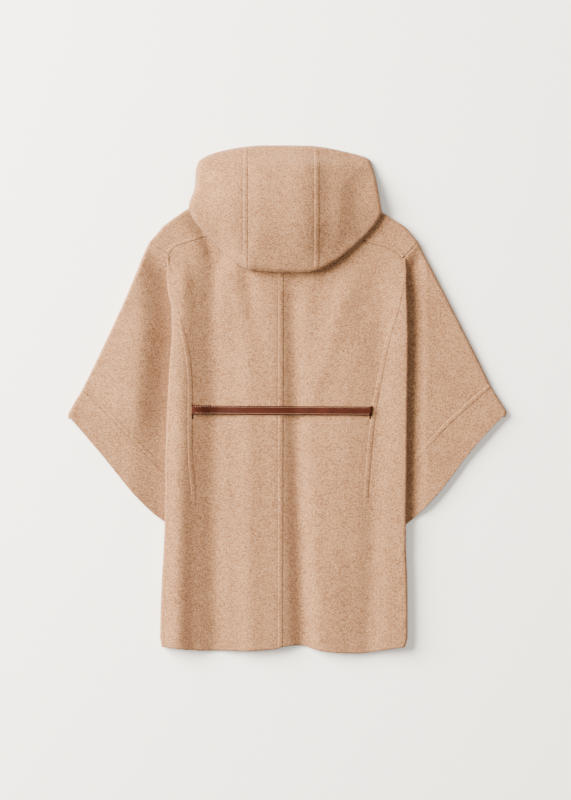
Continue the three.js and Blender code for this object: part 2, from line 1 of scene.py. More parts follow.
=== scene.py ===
# A hooded wool cape laid back up on a pale surface: cloth panels, lapped seams and a leather belt.
import math

import bpy
import numpy as np
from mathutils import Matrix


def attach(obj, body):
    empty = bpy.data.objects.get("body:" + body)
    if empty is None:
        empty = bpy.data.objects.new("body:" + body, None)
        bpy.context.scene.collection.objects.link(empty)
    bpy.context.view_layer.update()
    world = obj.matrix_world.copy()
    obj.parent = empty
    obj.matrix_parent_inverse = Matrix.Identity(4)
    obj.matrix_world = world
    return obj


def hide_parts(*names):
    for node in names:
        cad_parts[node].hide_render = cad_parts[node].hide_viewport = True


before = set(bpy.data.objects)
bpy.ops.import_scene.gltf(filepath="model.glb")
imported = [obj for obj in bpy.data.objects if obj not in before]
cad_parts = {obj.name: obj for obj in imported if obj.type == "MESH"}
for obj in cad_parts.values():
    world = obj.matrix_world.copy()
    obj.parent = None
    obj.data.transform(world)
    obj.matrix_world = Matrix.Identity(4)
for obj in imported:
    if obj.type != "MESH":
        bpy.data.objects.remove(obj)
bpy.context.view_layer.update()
mm = 0.001
print("stage: frame loaded")


# Sizes that all pieces share, in millimetres
cloth = 2.6              # double-faced wool
seamGap = 0.16           # between two panels at a seam
restGap = 0.3            # between a panel and what it lies on
lapWidth = 10.0          # lapped seam allowance
lapRise = 1.1
cell = 3.4               # size of a mesh cell on the cloth
steepest = 1.3           # most that a wall measured upright may thicken on a slope
signOf = {"left": -1, "right": 1}
sheets = []              # every cloth piece with its flat size
print("stage: sizes set")


def softStep(a, b, v):
    # 0 at a, 1 at b, with level ends: 3t^2 - 2t^3
    t = np.clip((v - a) / (b - a), 0, 1)
    return t * t * (3 - 2 * t)


def mix(a, b, t):
    return a + (b - a) * t


def bentLine(points):
    # straight pieces between the points, read by the share of length
    p = np.array(points, float)
    run = np.concatenate([[0], np.cumsum(np.linalg.norm(np.diff(p, axis=0), axis=1))])
    run /= run[-1]

    def read(share):
        s = np.clip(np.asarray(share, float), 0, 1)
        return np.stack([np.interp(s, run, p[:, 0]), np.interp(s, run, p[:, 1])], -1)
    return read


def lineThrough(points):
    # a smooth line: cubic pieces with chord-length tangents, read by its share of length
    p = np.array(points, float)
    if len(p) == 2:
        return bentLine(p)
    knots = np.concatenate([[0], np.cumsum(np.sqrt(np.linalg.norm(np.diff(p, axis=0), axis=1)))])
    slopes = np.gradient(p, knots, axis=0)
    u = np.linspace(0, knots[-1], 900)
    k = np.clip(np.searchsorted(knots, u, side="right") - 1, 0, len(p) - 2)
    h = (knots[k + 1] - knots[k])[:, None]
    t = ((u - knots[k])[:, None]) / h
    path = ((2 * t**3 - 3 * t**2 + 1) * p[k] + (t**3 - 2 * t**2 + t) * h * slopes[k]
            + (3 * t**2 - 2 * t**3) * p[k + 1] + (t**3 - t**2) * h * slopes[k + 1])
    run = np.concatenate([[0], np.cumsum(np.linalg.norm(np.diff(path, axis=0), axis=1))])
    run /= run[-1]

    def read(share):
        s = np.clip(np.asarray(share, float), 0, 1)
        return np.stack([np.interp(s, run, path[:, 0]), np.interp(s, run, path[:, 1])], -1)
    return read


def shareAt(path, level, axis=1):
    # the share of length at which a line reaches a level
    s = np.linspace(0, 1, 4001)
    v = path(s)[:, axis]
    return float(s[np.argmin(np.abs(v - level))])


def panel(top, low, left, right, s, t):
    # blend of four edges less the blend of the corners
    s1, t1 = s[..., None], t[..., None]
    corners = ((1 - t1) * ((1 - s1) * top(0.0) + s1 * top(1.0))
               + t1 * ((1 - s1) * low(0.0) + s1 * low(1.0)))
    return (1 - t1) * top(s) + t1 * low(s) + (1 - s1) * left(t) + s1 * right(t) - corners


def distanceTo(plan, line):
    # shortest distance of each place to a line of points
    flat = plan.reshape(-1, 2)
    least = np.full(len(flat), 1e9)
    for a, b in zip(line[:-1], line[1:]):
        ab = b - a
        share = np.clip(((flat - a) @ ab) / max(ab @ ab, 1e-9), 0, 1)
        least = np.minimum(least, np.linalg.norm(flat - a - share[:, None] * ab, axis=1))
    return least.reshape(plan.shape[:-1])


def outwardOf(path, shares, flip, blendTo=None, blend=None):
    # plan direction square to a line, blended to another direction near its start
    step = 0.01
    along = path(np.minimum(shares + step, 1)) - path(np.maximum(shares - step, 0))
    out = np.stack([-along[:, 1], along[:, 0]], -1) * flip
    out /= np.linalg.norm(out, axis=1, keepdims=True)
    if blendTo is not None:
        out = mix(out, blendTo[None], blend[:, None])
        out /= np.linalg.norm(out, axis=1, keepdims=True)
    return out


def foldSum(x, y, table):
    # each fold is a bell across its line, fading in at its start
    z = np.zeros_like(x)
    for top, low, riseTop, riseLow, width in table:
        share = np.clip((top[1] - y) / (top[1] - low[1]), 0, 1)
        away = (x - mix(top[0], low[0], share)) / width
        z += mix(riseTop, riseLow, share) * softStep(top[1] + 40, top[1] - 60, y) * np.exp(-away**2)
    return z


def ripple(x, y):
    # a slow unevenness of the laid cloth: three crossing waves under a millimetre high
    return (0.35 * np.sin(x / 47 + y / 130 + 0.6) + 0.28 * np.sin(x / 83 - y / 61 + 2.1)
            + 0.16 * np.sin(x / 21 + y / 33 + 4.0))


def wallMesh(name, mid, out, openCells=None):
    # a closed wall: each middle point moved half the thickness both ways along its arrow; a strip
    # through the middle line joins the two faces round the outline and round every opening
    rows, cols = mid.shape[:2]
    n = rows * cols
    middle = mid.reshape(-1, 3)
    arrow = out.reshape(-1, 3) * cloth / 2
    keep = np.ones((rows - 1, cols - 1), bool)
    if openCells is not None:
        keep &= ~openCells
    ids = np.arange(n).reshape(rows, cols)
    i, j = np.nonzero(keep)
    a, b, c, d = ids[i, j], ids[i, j + 1], ids[i + 1, j + 1], ids[i + 1, j]
    faces = [np.stack([a, b, c, d], 1), np.stack([a, d, c, b], 1) + n]
    # a cell's side is free where the next cell is missing: step to that cell, then the side's ends
    pad = np.pad(keep, 1)
    rims = []
    for di, dj, start, end in ((-1, 0, (0, 1), (0, 0)), (1, 0, (1, 0), (1, 1)),
                               (0, -1, (0, 0), (1, 0)), (0, 1, (1, 1), (0, 1))):
        free = keep & ~pad[1 + di:rows + di, 1 + dj:cols + dj]
        ei, ej = np.nonzero(free)
        rims.append(np.stack([ids[ei + start[0], ej + start[1]], ids[ei + end[0], ej + end[1]]], 1))
    rim = np.concatenate(rims)
    used = np.unique(rim)
    where = np.full(n, -1)
    where[used] = np.arange(len(used)) + 2 * n
    p, q = rim[:, 0], rim[:, 1]
    faces.append(np.stack([p, q, where[q], where[p]], 1))
    faces.append(np.stack([where[p], where[q], q + n, p + n], 1))
    verts = np.concatenate([middle + arrow, middle - arrow, middle[used]])
    return makeMesh(name, verts * mm, np.concatenate(faces))


def makeMesh(name, verts, quads):
    # a smooth mesh object at the origin, with its faces turned outwards
    mesh = bpy.data.meshes.new(name)
    mesh.vertices.add(len(verts))
    mesh.vertices.foreach_set("co", np.ascontiguousarray(verts, np.float32).ravel())
    mesh.loops.add(quads.size)
    mesh.loops.foreach_set("vertex_index", quads.astype(np.int32).ravel())
    mesh.polygons.add(len(quads))
    mesh.polygons.foreach_set("loop_start", (np.arange(len(quads)) * quads.shape[1]).astype(np.int32))
    mesh.update(calc_edges=True)
    mesh.validate()
    if signedVolume(verts, quads) < 0:
        mesh.flip_normals()
    mesh.polygons.foreach_set("use_smooth", np.ones(len(mesh.polygons), bool))
    piece = bpy.data.objects.new(name, mesh)
    bpy.context.scene.collection.objects.link(piece)
    return piece


def signedVolume(verts, quads):
    # sum over the triangles of a . (b x c), below zero where the faces point inwards
    a, b, c = verts[quads[:, 0]], verts[quads[:, 1]], verts[quads[:, 2]]
    d = verts[quads[:, 3]]
    return (a * (np.cross(b, c) + np.cross(c, d))).sum()


def faceUp(plan, height, rise=0.0):
    # outer face at the given height; the wall is measured upright, a little more on slopes
    x, y = plan[..., 0], plan[..., 1]
    dx = height(x + 0.5, y) - height(x - 0.5, y)
    dy = height(x, y + 0.5) - height(x, y - 0.5)
    half = np.minimum(np.sqrt(1 + dx**2 + dy**2), steepest)
    z = height(x, y) - half * cloth / 2 + rise
    out = np.zeros(plan.shape[:2] + (3,))
    out[..., 2] = half
    return np.concatenate([plan, z[..., None]], -1), out


def rollUnder(mid, out, outward, reach, lowAt, inside, lowEnd, steps=12, flat=6):
    # half an ellipse over the edge, then a straight return underneath
    last = mid[:, -1]
    high = last[:, 2] + out[:, -1, 2] * cloth / 2 - cloth / 2
    half = (high - lowAt) / 2
    k = np.arange(1, steps + 1) / steps
    angle = math.pi * (0.5 - k)[None, :]
    bend = last[:, None, :2] + outward[:, None] * (reach[:, None] * np.cos(angle))[..., None]
    z = lowAt[:, None] + half[:, None] * (1 + np.sin(angle))
    n = np.concatenate([outward[:, None] * (half[:, None] * np.cos(angle))[..., None],
                        (reach[:, None] * np.sin(angle))[..., None]], -1)
    n /= np.linalg.norm(n, axis=2, keepdims=True)
    f = (np.arange(1, flat + 1) / flat)[None, :, None]
    under = last[:, None, :2] * (1 - f) + inside[:, None] * f
    underZ = mix(lowAt[:, None], lowEnd[:, None], f[..., 0])
    down = np.zeros(under.shape[:2] + (3,))
    down[..., 2] = -1
    mid = np.concatenate([mid, np.concatenate([bend, z[..., None]], -1),
                          np.concatenate([under, underZ[..., None]], -1)], 1)
    return mid, np.concatenate([out, n, down], 1)


def lapProfile(d, width=lapWidth, rise=lapRise):
    # a raised strip from 0 to width, a little crowned, with a dent along both of its edges
    strip = softStep(width + 0.6, width - 1.2, d) * (0.5 + 0.5 * np.sin(np.clip(d / width, 0, 1) * math.pi))
    return rise * strip - 0.4 * np.exp(-((d - width - 0.8) / 1.1) ** 2) - 0.2 * np.exp(-(d / 0.9) ** 2)


def sheetPiece(name, mid, out, node, restsOn, openCells=None):
    # makes a wall and notes its flat size: its longest row, its longest column, and its cells' area
    piece = wallMesh(name, mid, out, openCells=openCells)
    across = np.linalg.norm(np.diff(mid, axis=1), axis=2)
    down = np.linalg.norm(np.diff(mid, axis=0), axis=2)
    cells = (across[1:] + across[:-1]) / 2 * (down[:, 1:] + down[:, :-1]) / 2
    width = across.sum(1).max() * mm
    length = down.sum(0).max() * mm
    area = min(cells.sum() * mm * mm, width * length)
    sheets.append((piece, node, width, length, area, restsOn))
    print("stage: made", name, len(piece.data.polygons), "faces")


# Back
back = {
    "top": 18.5,         # outer face between its folds
    "foldReach": {"left": 7.0, "right": 4.5},    # how far the side folds stand out
    "tuck": 19.0,        # how far they run on underneath
    "edgeLift": {"left": 0.0, "right": 11.0},    # the right one stands clear of the sleeve
    "slitTop": {"left": -12.5, "right": -15.2},
    "slitLow": -42.0,
    "seamFade": -205.0,  # level at which the shaped seams end
    "hem": -519,
    "foldGrows": (300, 200),     # levels between which the side fold reaches its full width
    "liftGrows": (300, 240),
    "sleeveEnds": (-335, -288),  # below the first the fold comes down to the surface
    "thinFold": 3.4,
    "leastGap": 1.2,             # to the front below
}
sideEdges = {           # the back's rolled side edges, by level
    "y": [301, 250, 196, 135, 55, -33, -132, -258, -306, -369, -443, -500, -519],
    "left": [-253, -248, -243, -242, -248, -253, -256, -257, -259, -263, -266, -267, -264],
    "right": [247, 249.5, 251.5, 253, 252, 251, 250, 248, 248, 251, 252, 252, 247],
}
shapedSeam = {         # from the yoke past the belt slit, straight on to the hem below the seam's end
    "left": [(-247, 303), (-241, 222), (-223, 170), (-209, 120), (-201, 72), (-198, 23), (-198, -27),
             (-197, -132), (-191, -195), (-187, -350), (-184, -527)],
    "right": [(240, 295), (243, 259), (234, 219), (220, 175), (205, 123), (186, 30), (176, -27),
              (166, -120), (160, -200), (156, -350), (155, -532.5)],
}
centerSeam = [(-8, 363), (-8, 265), (-8.5, -22), (-10, -518.5)]
hemEdge = {            # both run from the centre seam outwards
    "left": [(-10, -518.5), (-22, -522.5), (-47, -525), (-78, -527), (-129, -527), (-184, -527),
             (-228, -527.5), (-252, -525), (-264, -519)],
    "right": [(-10, -518.5), (13, -516), (37, -517.5), (55, -523.5), (85, -529.5), (125, -532),
              (155, -532.5), (205, -531), (230, -526), (247, -519)],
}
yokeSeam = {
    "left": [(-247, 303), (-236, 317.5), (-204, 329), (-169, 341), (-131, 355), (-100, 372)],
    "right": [(240, 295), (232, 304), (215, 314.5), (173, 327), (157, 334), (121, 351), (85, 372)],
}

# Soft ridges and troughs of the back: start, end, rise at both, width across
backFolds = [
    ((-220, 280), (-230, -540), 10, 16, 27),    # roll of the left side
    ((-152, 350), (-150, -540), -10.5, -12, 27),  # trough beside the left shaped seam
    ((-112, 310), (-84, -540), 4, 7, 44),       # broad rise left of the centre
    ((10, 262), (35, -540), -6.5, -14, 21),       # centre trough, deepest at the hem
    ((140, 270), (92, -540), 4, 4, 44),         # broad rise right of the centre
    ((205, 250), (168, -540), -2, -4, 22),      # shallow trough at the right shaped seam
    ((250, 275), (246, -540), 12, 6, 42),       # roll of the right side
]
fineFolds = [                                   # smaller ones, for the eye
    ((-128, 300), (-150, 60), 4.0, 0, 15),
    ((-88, 290), (-50, 40), -3.0, 0, 16),
    ((-200, 290), (-190, 120), -2.0, 0, 14),
    ((-206, 400), (-112, 268), -15.0, -7.0, 24),    # the back sinks beside the hood's left edge
    ((-112, 290), (-108, 120), 4.0, 0, 14),
    ((-84, 276), (-70, 130), -7.0, 0, 17),
    ((-34, 250), (-24, -540), 1.2, 3.2, 26),
    ((66, 260), (44, -40), -1.5, -1.0, 26),
    ((132, 255), (40, -44), 4.0, 2.0, 20),
    ((185, 260), (120, 60), -1.8, 0, 18),
    ((-150, -60), (-120, -520), 0.8, 1.6, 22),
    ((-95, -60), (-105, -500), -0.6, -1.0, 16),
    ((60, -100), (66, -530), 1.0, 2.4, 20),
    ((120, -150), (132, -530), -0.3, -1.4, 18),
    ((205, -120), (208, -520), 0.6, 1.6, 15),
]
seamLine = {side: lineThrough(shapedSeam[side]) for side in ("left", "right")}
neckLine = {side: lineThrough(yokeSeam[side] + [centerSeam[0]]) for side in ("left", "right")}


def plainBack(x, y):
    # the back's main height, close to the frame's
    return back["top"] + foldSum(x, y, backFolds)


def backHeight(x, y):
    # with the small folds and unevenness, and never below what lies under it
    z = plainBack(x, y) + foldSum(x, y, fineFolds) + ripple(x, y)
    return np.maximum(z, 2 * cloth + back["leastGap"])


def edgeAt(side, y):
    # x of the back's side edge at a level
    return np.interp(-np.asarray(y, float), -np.array(sideEdges["y"], float), sideEdges[side])


def seamShade(y):
    # 1 where the shaped seam is sewn, 0 below its end
    return softStep(back["seamFade"] - 30, back["seamFade"] + 20, y)


def marks(length):
    # distances from a seam: close together near it, then even
    close = [0, 0.6, 1.3, 2.4, 4, 6, 8, 9, 9.5, 9.9, 10.3, 10.8, 11.6, 13, 16]
    return np.concatenate([close, np.linspace(16, length, int((length - 16) / cell))[1:]])


def foldReach(side, y):
    # how far the side fold stands out at a level
    return mix(back["thinFold"], back["foldReach"][side], softStep(*back["foldGrows"], y))


def innerBack(side, rows, seam, start):
    # from the centre seam to the shaped seam: a blend of the four edges, with columns placed by
    # their distance from the centre; the left panel carries the lapped strip, the right one a dent
    sign = signOf[side]
    middle, hem, neck = lineThrough(centerSeam), lineThrough(hemEdge[side]), neckLine[side]
    split = shareAt(hem, seam(1.0)[0], 0)
    shift = np.array([sign * seamGap / 2, 0])
    width = np.linalg.norm(middle(rows) + shift - start, axis=1)
    near = marks(60)
    far = np.array([3.0, 2.5, 1.2, 0.0])
    between = np.linspace(0, 1, 46)[1:-1]
    d = np.stack([np.concatenate([near, mix(near[-1], w - far[0] - 2, between), w - far]) for w in width])
    t = np.repeat(rows[:, None], d.shape[1], 1)
    plan = panel(lambda v: neck(1 - v), lambda v: hem(v * split), lambda v: middle(v) + shift, seam,
                 d / width[:, None], t)
    rise = lapProfile(d) * 0.75 if side == "left" else -0.25 * np.exp(-(d / 1.5) ** 2)
    dent = 0.15 * np.exp(-((width[:, None] - d) / 1.6) ** 2)
    return faceUp(plan, backHeight, rise - dent * seamShade(start[:, 1])[:, None])


def outerBack(side, rows, start, fold):
    # from the shaped seam to the side fold: straight across, with the lapped strip beside the seam
    sign = signOf[side]
    room = np.maximum(sign * (fold[:, 0] - start[:, 0]), 3)[:, None]
    wide = np.minimum(lapWidth, room * 0.45)
    lapCols = np.array([0.06, 0.13, 0.25, 0.5, 0.8, 0.9, 0.96, 1.0, 1.04, 1.1, 1.2])
    first = np.minimum(wide * lapCols, room * 0.6)
    last = mix(first[:, -1:], room, np.linspace(0, 1, 26)[None, 1:])
    d = np.concatenate([first, last], 1)
    x = start[:, :1] + sign * d
    y = start[:, 1:] + (fold[:, 1:] - start[:, 1:]) * d / room
    lap = lapProfile(d * (lapWidth / wide)) * seamShade(start[:, 1])[:, None]
    return faceUp(np.stack([x, y], -1), backHeight, lap * np.clip(wide / lapWidth, 0.3, 1) * 0.8)


def buildBack(side):
    # both parts of the panel side by side, then rolled under at the side; cells of the slit left out
    sign = signOf[side]
    seam = seamLine[side]
    slits = [shareAt(seam, back["slitTop"][side]), shareAt(seam, back["slitLow"])]
    rows = np.unique(np.concatenate([np.linspace(0, slits[0], 96), np.linspace(slits[0], slits[1], 12),
                                     np.linspace(slits[1], 1, 160)]))
    start = seam(rows)
    yAlong = mix(yokeSeam[side][0][1], back["hem"], rows)
    fold = np.stack([edgeAt(side, yAlong) - sign * foldReach(side, yAlong), yAlong], -1)
    mid, out = innerBack(side, rows, seam, start)
    slitCol = mid.shape[1] - 1
    midOut, outOut = outerBack(side, rows, start, fold)
    mid, out = np.concatenate([mid, midOut], 1), np.concatenate([out, outOut], 1)
    # the fold comes down on the sleeve, and below the sleeve on the surface
    y = mid[:, -1, 1]
    onSleeve = softStep(*back["sleeveEnds"], y)
    lift = back["edgeLift"][side] * softStep(*back["liftGrows"], y)
    inside = np.stack([edgeAt(side, y) - sign * back["tuck"], y], -1)
    rest = restGap + cloth / 2
    lowAt = mix(cloth / 2, sleeveHeight(side, edgeAt(side, y) - sign * 3, y) + rest + lift, onSleeve)
    lowEnd = mix(cloth / 2, sleeveHeight(side, inside[:, 0], y) + rest, onSleeve)
    outward = np.tile([float(sign), 0.0], (len(rows), 1))
    mid, out = rollUnder(mid, out, outward, foldReach(side, y) - cloth / 2, lowAt, inside, lowEnd)
    openCells = np.zeros((mid.shape[0] - 1, mid.shape[1] - 1), bool)
    inSlit = (rows[:-1] > slits[0] - 1e-6) & (rows[1:] < slits[1] + 1e-6)
    openCells[inSlit, slitCol - 2:slitCol + 2] = True
    sheetPiece(f"backCloth.{side}", mid, out, f"back_{side}", [f"front_{side}"], openCells)


# Sleeves and cuffs
sleeve = {
    "top": {"left": 31.0, "right": 16.0},
    "drop": {"left": 15.0, "right": 3.0},          # it sinks again towards its outer fold
    "flat": {"left": 16.0, "right": 15.0},         # at the cuffs it lies flatter
    "ramp": {"left": (-5, 70), "right": (14, 44)},  # how far out from the back's edge it climbs
    "head": {"left": 56, "right": 34},             # how far below its head seam it is level with the yoke
    "headGap": {"left": (-9, -3), "right": (-7, -2)},
    "tuck": 6.6,                                   # outer face under the back's edge
    "wave": 1.1,
    "wavePhase": {"left": 0.5, "right": 2.0},
    "arch": (-110, 0),                             # levels between which it rises from the cuff
    "dropRun": (70, 185),                          # how far out it sinks
    "fold": 6.0,                                   # half width of its outer fold
}
sleeveOuter = {
    "left": [(-289, 330), (-298, 312), (-337, 216), (-365, 155), (-413, 55), (-431, 19)],
    "right": [(274, 330), (286, 306), (331, 219), (365, 152), (398, 87), (428, 25)],
}
cuffSeam = {           # from the outer fold inwards
    "left": [(-431, 19), (-413, 2), (-391, -20), (-358, -54), (-328, -84), (-295, -118),
             (-258, -156), (-237, -176)],
    "right": [(428, 25), (404, 4), (366, -30), (344, -50), (314, -81), (287, -111), (265, -134),
              (231, -171)],
}
cuffOuter = {
    "left": [(-431, 19), (-449, -11), (-460, -33), (-459, -42)],
    "right": [(428, 25), (447, -5), (460, -28), (457, -38)],
}
cuffHem = {
    "left": [(-459, -42), (-425, -80), (-391, -118), (-349, -168), (-328, -193), (-306, -216),
             (-278, -242), (-238, -270)],
    "right": [(457, -38), (440, -54), (409, -86), (376, -123), (344, -165), (322, -192), (301, -215),
              (259, -255), (229, -276)],
}


def atHead(side, x, y):
    # 1 on the seam between yoke and sleeve, 0 from a hand's width below it
    a, b = np.array(sleeveOuter[side][0], float), np.array(yokeSeam[side][0], float)
    ab = b - a
    away = np.abs((x - a[0]) * ab[1] - (y - a[1]) * ab[0]) / np.hypot(*ab)
    return softStep(sleeve["head"][side], 3, away)


def sleeveHeight(side, x, y):
    # low under the back's edge, full further out, level with the yoke at the head
    sign = signOf[side]
    out = sign * (x - edgeAt(side, y))
    full = softStep(*sleeve["ramp"][side], out)
    wave = sleeve["wave"] * np.sin(out / 31 + y / 170 + sleeve["wavePhase"][side]) + ripple(x, y)
    high = sleeve["top"][side] - sleeve["drop"][side] * softStep(*sleeve["dropRun"], out)
    top = mix(sleeve["flat"][side], high, softStep(*sleeve["arch"], y))
    z = mix(sleeve["tuck"], top + wave * softStep(20, 80, out), full)
    clear = softStep(*sleeve["headGap"][side], out)
    return mix(z, plainBack(x, y) - 0.3, atHead(side, x, y) * clear)


def headOutward(side):
    # plan direction square to the fold where yoke and sleeve meet
    v = np.array([-42.0, 27.0] if side == "left" else [34.0, 35.0])
    return v / np.linalg.norm(v)


def buildSleeve(name, node, side, outer, top, low, rows, lapAtEnd):
    # a blend of the four edges, from under the back's edge to the outer fold, which is drawn in by
    # half the fold's width; then the fold, and the lower layer straight back under the upper one
    sign = signOf[side]
    start, end = top(1.0), low(1.0)
    s, t = np.meshgrid(np.concatenate([np.linspace(0, 0.94, 62), [0.96, 0.98, 1.0]]), rows)

    def innerEdge(v):
        y = mix(start[1], end[1], np.asarray(v, float))
        return np.stack([edgeAt(side, y) - sign * back["tuck"], y], -1)
    plan = panel(lambda v: top(1 - v), lambda v: low(1 - v), innerEdge, outer, s, t)
    blend = softStep(0.1, 0, rows) if lapAtEnd else np.zeros_like(rows)
    outward = outwardOf(outer, rows, sign, headOutward(side), blend)
    plan -= outward[:, None] * (sleeve["fold"] * s**2)[..., None]
    rise = 0.0
    if lapAtEnd:
        clear = softStep(4, 24, sign * (plan[..., 0] - edgeAt(side, plan[..., 1])))
        rise = lapProfile(distanceTo(plan, low(np.linspace(0, 1, 200)))) * clear * 0.85
    mid, out = faceUp(plan, lambda x, y: sleeveHeight(side, x, y), rise)
    lowZ = np.full(len(rows), cloth / 2)
    reach = np.full(len(rows), sleeve["fold"] - cloth / 2)
    mid, out = rollUnder(mid, out, outward, reach, lowZ, plan[:, 0], lowZ, flat=24)
    sheetPiece(name, mid, out, node, [])


def buildSleeves(side):
    # the sleeve from its head seam to the cuff seam, then the cuff from there to its hem
    sign = signOf[side]
    headEnd = (float(edgeAt(side, 290)) - sign * back["tuck"], 288)
    head = bentLine([sleeveOuter[side][0], yokeSeam[side][0], headEnd])
    seam, hem = lineThrough(cuffSeam[side]), lineThrough(cuffHem[side])
    rows = np.concatenate([np.linspace(0.0006, 0.05, 14), np.linspace(0.056, 0.955, 100),
                           np.linspace(0.957, 0.9996, 26)])
    buildSleeve(f"sleeveCloth.{side}", f"sleeve_{side}", side, lineThrough(sleeveOuter[side]), head, seam,
                rows, True)
    buildSleeve(f"cuffCloth.{side}", f"cuff_{side}", side, lineThrough(cuffOuter[side]), seam, hem,
                np.linspace(0.0012, 1, 44), False)


# Yokes
yoke = {"return": 18.0, "lap": (9.0, 1.0), "neckEnd": 371.5}
shoulder = {
    "left": [(-289, 330), (-272, 349), (-259, 364), (-243, 376), (-225, 389), (-208, 400),
             (-183, 413), (-152, 425), (-100, 435)],
    "right": [(274, 330), (263, 343), (246, 362), (224, 376), (199, 391), (173, 406), (136, 420),
              (94, 433)],
}


def buildYoke(side):
    # straight lines from the yoke seam to the shoulder fold, then rolled under and back inside
    sign = signOf[side]
    path = lineThrough(shoulder[side])
    end = shareAt(neckLine[side], yoke["neckEnd"])
    rows = np.concatenate([np.linspace(0.0008, 0.05, 8), np.linspace(0.06, 1, 64)])
    outward = outwardOf(path, rows, -sign, headOutward(side), softStep(0.14, 0, rows))
    edge = path(rows) - outward * sleeve["fold"]
    start = neckLine[side](rows * end)
    s = np.concatenate([[0.012, 0.02, 0.035], np.linspace(0.06, 1, 26)])
    plan = start[:, None] + (edge - start)[:, None] * s[None, :, None]
    away = np.linalg.norm(plan - start[:, None], axis=2)
    mid, out = faceUp(plan, backHeight, lapProfile(away, *yoke["lap"]))
    low = np.full(len(rows), cloth / 2)
    inside = mid[:, -1, :2] + outward * (sleeve["fold"] - yoke["return"])
    reach = np.full(len(rows), sleeve["fold"] - cloth / 2)
    mid, out = rollUnder(mid, out, outward, reach, low, inside, low)
    sheetPiece(f"yokeCloth.{side}", mid, out, f"yoke_{side}", [f"front_{side}"])


# Fronts
front = {
    "levels": [240, 196, 135, 55, -33, -132, -258, -306, -369, -443, -500, -512],
    "clear": 1.2,                                  # from the back's turned-under edge
    "armpit": (290, 282, 4),                       # level of the edge, level here, clearance
    "shoulder": (0.11, 0.97),                      # shares of the shoulder's length
    "neck": [(80, 380), (42, 318), (0.15, 296)],   # down to the middle
    "hem": -519,
    "middleHem": -509,
}


def buildFront(side):
    # a plain flat panel inside the turned-under edges of back and yoke
    sign = signOf[side]
    path = lineThrough(shoulder[side])
    inner = yoke["return"] + seamGap + 0.4

    def along(v):
        v = np.asarray(v, float).reshape(-1)
        return path(v) - outwardOf(path, v, -sign) * inner

    def edge(y, clear):
        return float(edgeAt(side, y)) - sign * (back["tuck"] + clear)
    high, start, clear = front["armpit"]
    ends = along(np.linspace(*front["shoulder"], 14))
    sideLine = bentLine([ends[0], (edge(high, clear), start)]
                        + [(edge(y, front["clear"]), y) for y in front["levels"]])
    topLine = bentLine([*ends] + [(sign * x, y) for x, y in front["neck"]])
    corner = edge(front["levels"][-1], front["clear"])
    top, low = (sign * front["neck"][-1][0], front["neck"][-1][1]), (sign * 0.15, front["middleHem"])
    hemLine = bentLine([(corner, front["levels"][-1]), (corner * 0.8, front["hem"]),
                        (corner * 0.3, front["hem"]), low])
    s, t = np.meshgrid(np.linspace(0, 1, 60), np.linspace(0, 1, 150))
    plan = panel(topLine, hemLine, sideLine, bentLine([top, low]), s, t)
    z = np.full(plan.shape[:2] + (1,), cloth / 2)
    out = np.zeros(plan.shape[:2] + (3,))
    out[..., 2] = 1
    sheetPiece(f"frontCloth.{side}", np.concatenate([plan, z], -1), out, f"front_{side}", [])


# Hood
hood = {
    "roll": 13.0,        # width of its rounded rim
    "rollRight": 7.0,
    "rimRise": 17.0,
    "rise": 38.0,        # how much higher the crest is than the rim
    "crest": -22.0,      # line along which the hood is highest
    "plateau": 52,       # half width of its level middle
    "ease": 30,          # how softly the middle turns into the slopes
    "slope": (150, 168),  # width of the slopes, left and right
    "top": 533,
    "lowRise": 0.66,     # share of the rise that is left at the lower edge
    "lowRim": 0.38,      # and of the rim
    "rightRim": 0.4,     # share of the rim at the right
    "crownRun": (-55, 85),
    "rimSeat": (512, 398),       # levels between which it climbs on the back: rim, then middle
    "wideSeat": (500, 345),
    "underLift": 2,
}
hoodTopEdge = {
    "left": [(-187, 497), (-181, 503), (-152, 517), (-82, 531)],
    "center": [(-82, 531), (-8, 533), (66, 530.5)],
    "right": [(66, 530.5), (127, 518), (166, 506.5), (174, 500)],
}
hoodSideEdge = {
    "left": [(-187, 497), (-192, 479), (-193, 456), (-196, 435), (-204, 414), (-207, 399)],
    "right": [(174, 500), (184, 469), (192, 427), (198, 391)],
}
hoodLowEdge = {
    "left": [(-207, 399), (-196, 376), (-167, 341), (-131, 305), (-108, 286), (-82, 270)],
    "center": [(-82, 270), (-60, 268), (-8, 265), (55, 267), (66, 270)],
    "right": [(66, 270), (98, 287), (127, 310), (157, 336), (186, 368), (198, 391)],
}
hoodFolds = [                                   # start, end, rise at both, width
    ((-80, 560), (-82, 270), -3.5, -2.5, 15),    # sinks at the left seam
    ((30, 560), (20, 270), 3.0, 3.0, 36),
    ((84, 560), (84, 270), -1.5, -1.5, 16),      # and less at the right one
    ((-150, 470), (-120, 330), 2.0, 3.0, 26),
    ((112, 480), (105, 300), 2.0, 2.5, 26),
]


def joinEdges(*edges):
    # one smooth line through edges that follow each other
    points = list(edges[0])
    for edge in edges[1:]:
        points += edge[1:]
    return lineThrough(points)


hoodOutline = np.concatenate([
    joinEdges(hoodTopEdge["left"], hoodTopEdge["center"], hoodTopEdge["right"])(np.linspace(0, 1, 90)),
    lineThrough(hoodSideEdge["right"])(np.linspace(0, 1, 30)),
    joinEdges(hoodLowEdge["left"], hoodLowEdge["center"], hoodLowEdge["right"])(np.linspace(1, 0, 100)),
    lineThrough(hoodSideEdge["left"])(np.linspace(1, 0, 30)),
])


def hoodInset(x, y):
    # distance inwards from the outline
    return distanceTo(np.stack([x, y], -1), hoodOutline)


def underHeight(x, y):
    # outer face of the hood's hidden stretch: on the back, clear of its lapped strips
    lift = hood["underLift"] * softStep(-40, 90, x) * softStep(345, 285, y)
    return plainBack(x, y) + lapRise + 0.9 + cloth + lift


